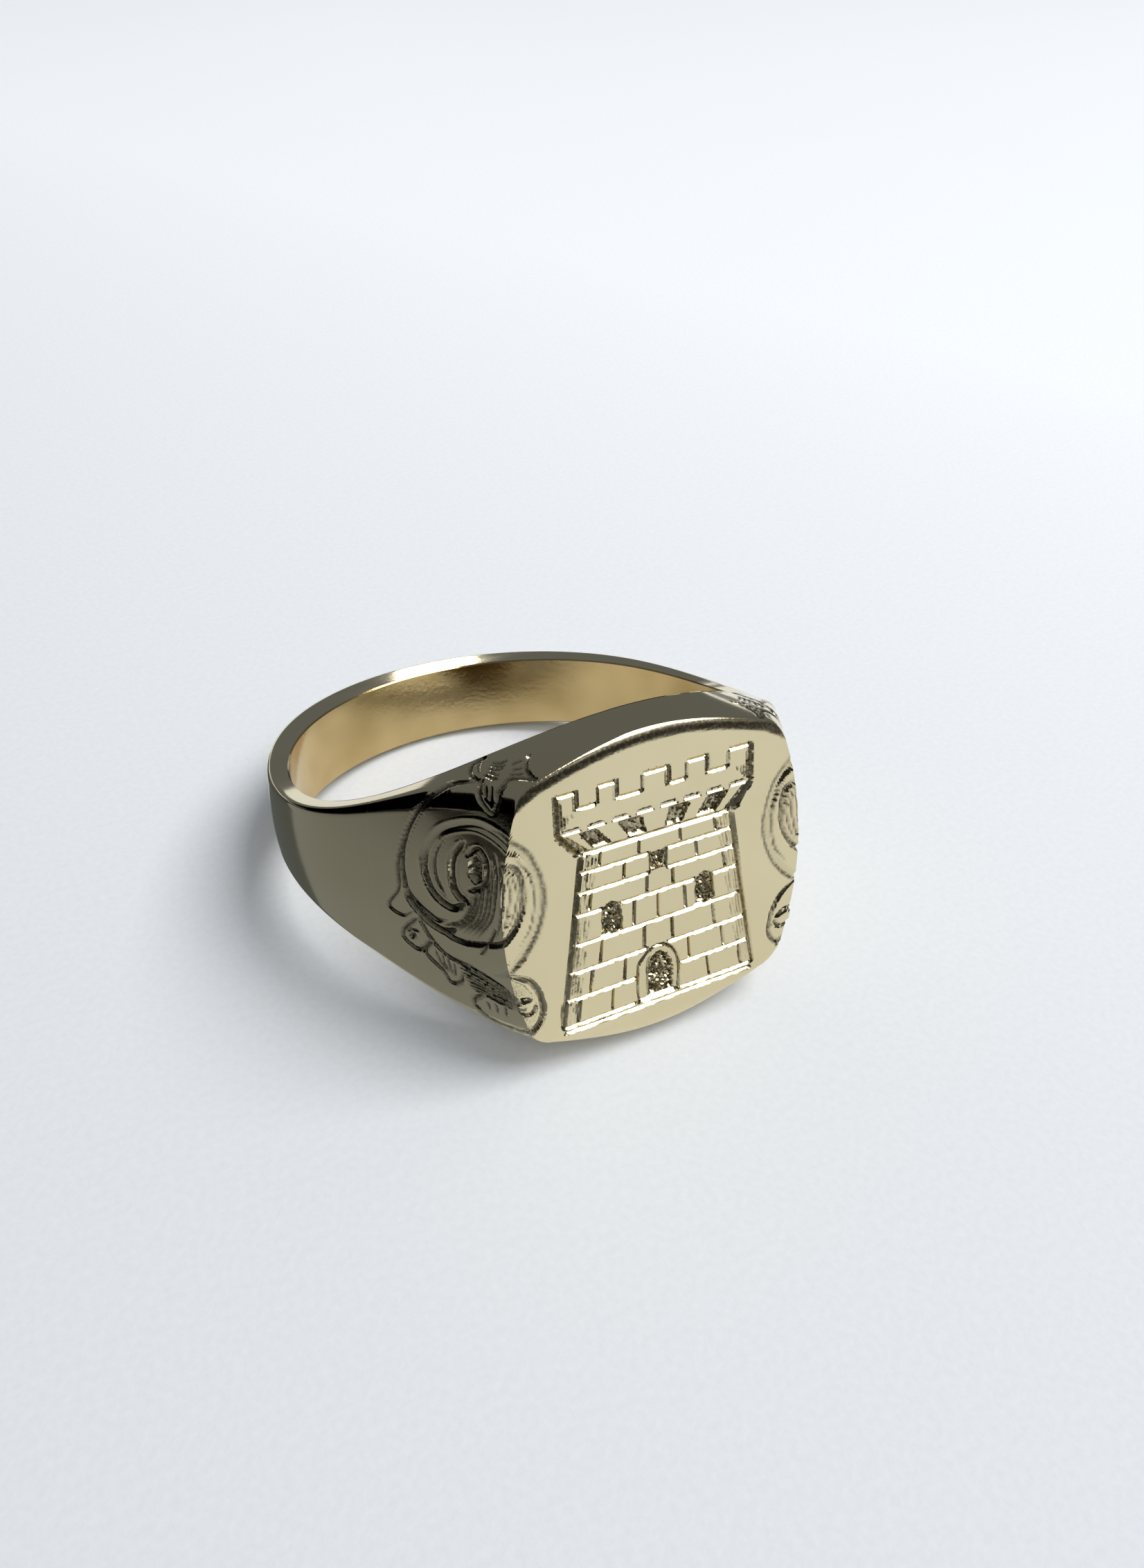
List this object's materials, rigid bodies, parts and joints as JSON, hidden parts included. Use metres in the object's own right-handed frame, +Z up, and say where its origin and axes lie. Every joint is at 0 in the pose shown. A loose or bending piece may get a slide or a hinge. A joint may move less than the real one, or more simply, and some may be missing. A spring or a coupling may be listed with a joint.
{
  "type": "signet ring",
  "caption": "Signet ring with a cushion-shaped flat face engraved with a castle, tapering shoulders and a plain half-round finger band, lying on its side.",
  "frame": {"origin": "centre of the ring's box, at the level of the table it lies on", "axes": "+Z up from the table; -Y is the side the signet face looks to; X runs across the face. The ring lies on its side, leaning back 13.4 degrees about X, so the finger hole's axis is close to Z."},
  "size_m": [0.0208, 0.0232, 0.0126],
  "materials": {
    "gold": "polished pale yellow gold, satin on the face",
    "solder": "polished gold solder"
  },
  "bodies": {
    "root": {"signet_head": "gold", "left_shoulder": "gold", "right_shoulder": "gold", "back_band": "gold", "left_head_solder": "solder", "right_head_solder": "solder", "left_band_solder": "solder", "right_band_solder": "solder"}
  },
  "joints": []
}
